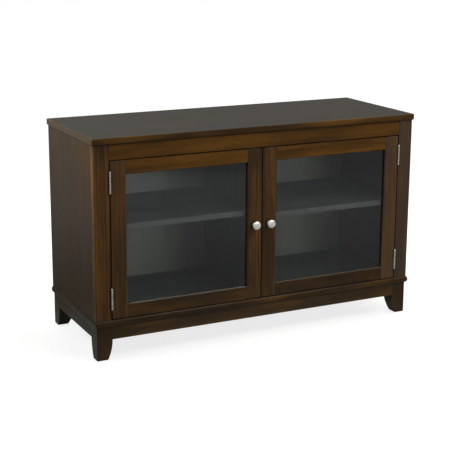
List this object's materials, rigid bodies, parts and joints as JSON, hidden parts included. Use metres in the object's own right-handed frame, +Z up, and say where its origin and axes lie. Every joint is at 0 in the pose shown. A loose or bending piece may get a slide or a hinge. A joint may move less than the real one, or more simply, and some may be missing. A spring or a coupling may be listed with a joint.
{
  "type": "media console",
  "caption": "Low media console on curved bracket feet, with a pair of hinged glazed doors, an adjustable shelf behind each door and cable holes in the back.",
  "frame": {"origin": "on the floor, under the middle of the whole object's box", "axes": "+X to the right for a person who faces the doors, +Y to the back, +Z up"},
  "size_m": [1.27, 0.488, 0.773],
  "materials": {
    "espresso_wood": "satin lacquer over a dark espresso stain",
    "inner_wood": "flat dark lacquer inside the case",
    "back_board": "dark faced thin board",
    "clear_glass": "clear float glass",
    "satin_nickel": "satin nickel plate",
    "plated_steel": "zinc plate",
    "black_plastic": "fine matte moulding",
    "dark_magnet": "dull grey ferrite"
  },
  "bodies": {
    "case": {"top_panel": "espresso_wood", "frieze_rail": "espresso_wood", "rear_top_rail": "inner_wood", "center_divider": "inner_wood", "bottom_panel": "inner_wood", "left_side_panel": "espresso_wood", "right_side_panel": "espresso_wood", "left_front_post": "espresso_wood", "right_front_post": "espresso_wood", "left_back_panel": "back_board", "right_back_panel": "back_board", "left_shelf": "inner_wood", "right_shelf": "inner_wood", "shelf_pins": "plated_steel", "back_panel_screws": "plated_steel", "front_moulding": "espresso_wood", "left_side_moulding": "espresso_wood", "right_side_moulding": "espresso_wood", "front_apron": "espresso_wood", "rear_apron": "espresso_wood", "left_side_apron": "espresso_wood", "right_side_apron": "espresso_wood", "front_left_foot": "espresso_wood", "front_right_foot": "espresso_wood", "rear_left_foot": "espresso_wood", "rear_right_foot": "espresso_wood", "floor_glides": "black_plastic", "mounting_cleats": "inner_wood", "case_screws": "plated_steel", "catch_housings": "black_plastic", "catch_magnets": "dark_magnet", "case_hinge_leaves": "satin_nickel", "case_hinge_screws": "plated_steel", "hinge_pins": "satin_nickel"},
    "left_door": {"left_door_hinge_stile": "espresso_wood", "left_door_meeting_stile": "espresso_wood", "left_door_top_rail": "espresso_wood", "left_door_bottom_rail": "espresso_wood", "left_door_glass": "clear_glass", "left_door_glazing_stops": "espresso_wood", "left_door_knob": "satin_nickel", "left_door_knob_screw": "plated_steel", "left_door_strike_plate": "plated_steel", "left_door_strike_screws": "plated_steel", "left_door_hinge_leaves": "satin_nickel", "left_door_hinge_screws": "plated_steel"},
    "right_door": {"right_door_hinge_stile": "espresso_wood", "right_door_meeting_stile": "espresso_wood", "right_door_top_rail": "espresso_wood", "right_door_bottom_rail": "espresso_wood", "right_door_glass": "clear_glass", "right_door_glazing_stops": "espresso_wood", "right_door_knob": "satin_nickel", "right_door_knob_screw": "plated_steel", "right_door_strike_plate": "plated_steel", "right_door_strike_screws": "plated_steel", "right_door_hinge_leaves": "satin_nickel", "right_door_hinge_screws": "plated_steel"}
  },
  "joints": [
    {"name": "left_door_swing", "type": "hinge", "parent": "case", "child": "left_door", "pos_m": [-0.5725, -0.2216, 0.42025], "axis": [0, 0, -1], "range_deg": [0, 170]},
    {"name": "right_door_swing", "type": "hinge", "parent": "case", "child": "right_door", "pos_m": [0.5725, -0.2216, 0.42025], "axis": [0, 0, 1], "range_deg": [0, 170]}
  ]
}
